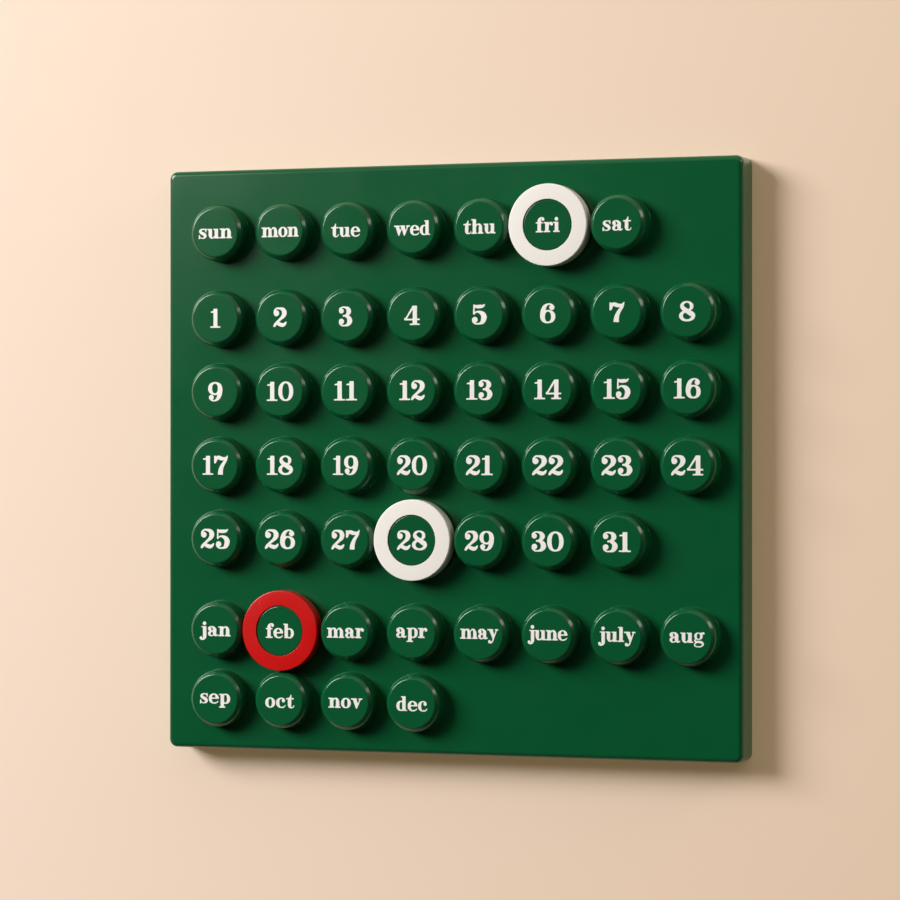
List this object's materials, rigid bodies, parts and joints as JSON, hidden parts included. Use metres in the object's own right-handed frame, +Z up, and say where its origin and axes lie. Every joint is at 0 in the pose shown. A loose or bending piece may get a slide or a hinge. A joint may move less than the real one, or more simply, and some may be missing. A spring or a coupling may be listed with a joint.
{
  "type": "perpetual wall calendar",
  "caption": "Square moulded plastic wall calendar: a panel with raised round studs for weekdays, dates and months, and push-on marker rings.",
  "frame": {"origin": "midway between the entries of the two keyholes, on the back plane that lies on the wall", "axes": "+X to the right as seen from the front, +Y into the wall, +Z up; the printed front faces -Y"},
  "size_m": [0.3096, 0.0283, 0.3],
  "materials": {
    "panel_green": "satin gloss moulded plastic, white printed lettering on the studs",
    "ring_white": "satin warm white plastic",
    "ring_red": "satin red plastic"
  },
  "bodies": {
    "panel": {"panel": "panel_green"},
    "day_ring": {"day_ring": "ring_white"},
    "date_ring": {"date_ring": "ring_white"},
    "month_ring": {"month_ring": "ring_red"}
  },
  "joints": [
    {"name": "day_ring_pull", "type": "slide", "parent": "panel", "child": "day_ring", "axis": [0, -1, 0], "range_m": [0, 0.025]},
    {"name": "date_ring_pull", "type": "slide", "parent": "panel", "child": "date_ring", "axis": [0, -1, 0], "range_m": [0, 0.025]},
    {"name": "month_ring_pull", "type": "slide", "parent": "panel", "child": "month_ring", "axis": [0, -1, 0], "range_m": [0, 0.025]}
  ]
}
